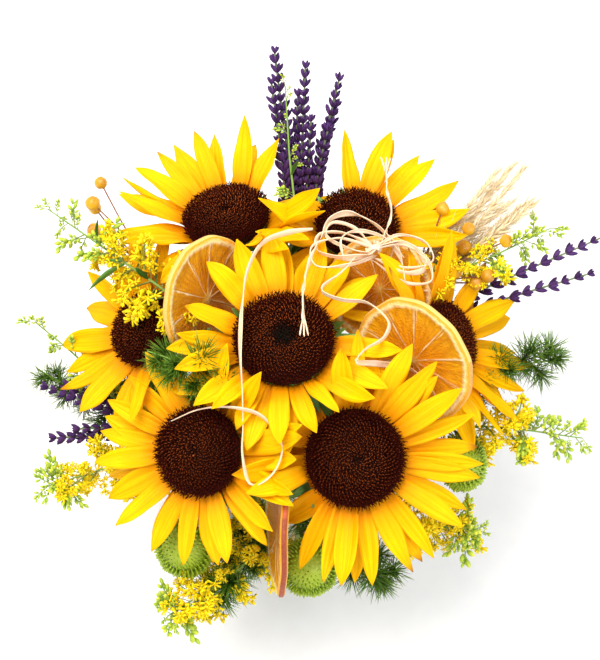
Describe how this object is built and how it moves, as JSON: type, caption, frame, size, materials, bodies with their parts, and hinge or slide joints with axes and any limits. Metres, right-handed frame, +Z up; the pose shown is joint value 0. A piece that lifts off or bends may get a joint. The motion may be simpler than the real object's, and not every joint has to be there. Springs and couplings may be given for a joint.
{
  "type": "bunch of sunflowers",
  "caption": "hand-tied spiral posy of sunflowers with dried orange slices, lavender, goldenrod, fern and a loose raffia bow, standing on its level-cut stem ends",
  "frame": {"origin": "middle of the cut end of the middle sunflower stem, on the surface the bunch stands on", "axes": "+Z up along the middle stem; -Y towards the viewer of the picture, +X to that viewer's right"},
  "size_m": [0.3569, 0.3262, 0.2611],
  "materials": {
    "disc": "matt, seeded",
    "petals": "satin, pleated",
    "stem": "hairy green stem",
    "orange": "dried, translucent flesh in a cream pith",
    "cane": "raw split cane",
    "lavender": "matt dried buds",
    "goldenrod": "soft florets on a green stem",
    "fern": "fine needles",
    "chrysanthemum": "packed florets",
    "seed_head": "smooth dried capsules",
    "grass": "papery spikelets with soft awns",
    "raffia": "flat dry fibre"
  },
  "bodies": {
    "root": {"sunflower_middle_disc": "disc", "sunflower_middle_stem": "stem", "sunflower_middle_petals": "petals", "sunflower_front_right_disc": "disc", "sunflower_front_right_stem": "stem", "sunflower_front_right_petals": "petals", "sunflower_front_left_disc": "disc", "sunflower_front_left_stem": "stem", "sunflower_front_left_petals": "petals", "sunflower_back_right_disc": "disc", "sunflower_back_right_stem": "stem", "sunflower_back_right_petals": "petals", "sunflower_back_left_disc": "disc", "sunflower_back_left_stem": "stem", "sunflower_back_left_petals": "petals", "sunflower_left_disc": "disc", "sunflower_left_stem": "stem", "sunflower_left_petals": "petals", "sunflower_right_disc": "disc", "sunflower_right_stem": "stem", "sunflower_right_petals": "petals", "raffia_binding": "raffia", "raffia_trail_left": "raffia", "raffia_trail_right": "raffia", "raffia_bow": "raffia", "orange_slice_left": "orange", "orange_pick_left": "cane", "orange_slice_right": "orange", "orange_pick_right": "cane", "orange_slice_back": "orange", "orange_pick_back": "cane", "orange_slice_front": "orange", "orange_pick_front": "cane", "lavender_back_left": "lavender", "lavender_back_middle": "lavender", "lavender_back_right": "lavender", "lavender_left_upper": "lavender", "lavender_left_lower": "lavender", "lavender_right_upper": "lavender", "lavender_right_lower": "lavender", "chrysanthemum_front_left": "chrysanthemum", "chrysanthemum_front": "chrysanthemum", "chrysanthemum_right": "chrysanthemum", "seed_heads_left": "seed_head", "seed_heads_right": "seed_head", "grass_ear_back": "grass", "grass_ear_front": "grass", "goldenrod_left_back": "goldenrod", "goldenrod_left": "goldenrod", "goldenrod_front_left_side": "goldenrod", "goldenrod_front_left": "goldenrod", "goldenrod_front_right": "goldenrod", "goldenrod_right": "goldenrod", "goldenrod_back_right": "goldenrod", "goldenrod_back": "goldenrod", "fern_middle": "fern", "fern_left": "fern", "fern_right": "fern", "fern_front_left": "fern", "fern_front_right": "fern"}
  },
  "joints": []
}
